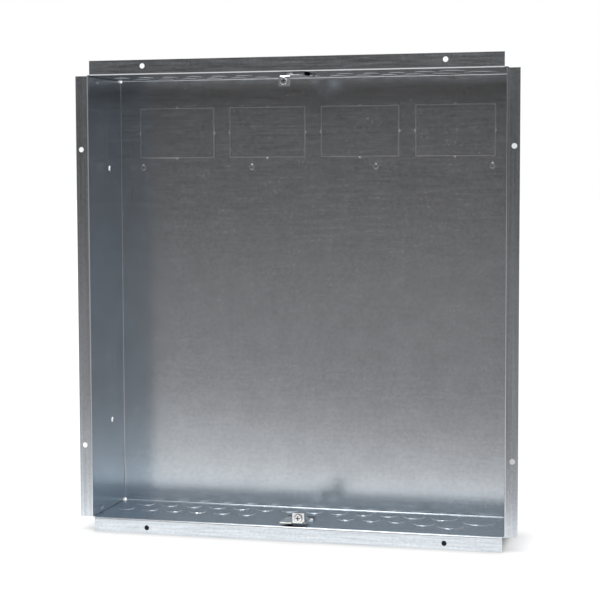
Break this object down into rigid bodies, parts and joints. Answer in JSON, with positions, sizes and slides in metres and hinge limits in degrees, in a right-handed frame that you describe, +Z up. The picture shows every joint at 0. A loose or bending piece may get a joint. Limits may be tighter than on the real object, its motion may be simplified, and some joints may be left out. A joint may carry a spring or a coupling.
{
  "type": "distribution board back box",
  "caption": "Open-fronted folded sheet steel back box for a flush distribution board, with front flanges, half-sheared knockouts, lapped corners and clip-in cover brackets.",
  "frame": {"origin": "centre of the outer face of the back", "axes": "+Z up as the box is mounted, -Y out of the open front, +X to the right seen from the front"},
  "size_m": [0.55, 0.118, 0.588],
  "materials": {
    "galvanised_sheet": "cold-rolled zinc-coated sheet, semi-bright with faint rolling streaks",
    "bright_zinc": "bright zinc plating",
    "screw_zinc": "bright zinc plating"
  },
  "bodies": {
    "root": {"back_box": "galvanised_sheet", "bottom_bracket": "bright_zinc", "bottom_screw": "screw_zinc", "top_bracket": "bright_zinc", "top_screw": "screw_zinc"}
  },
  "joints": []
}
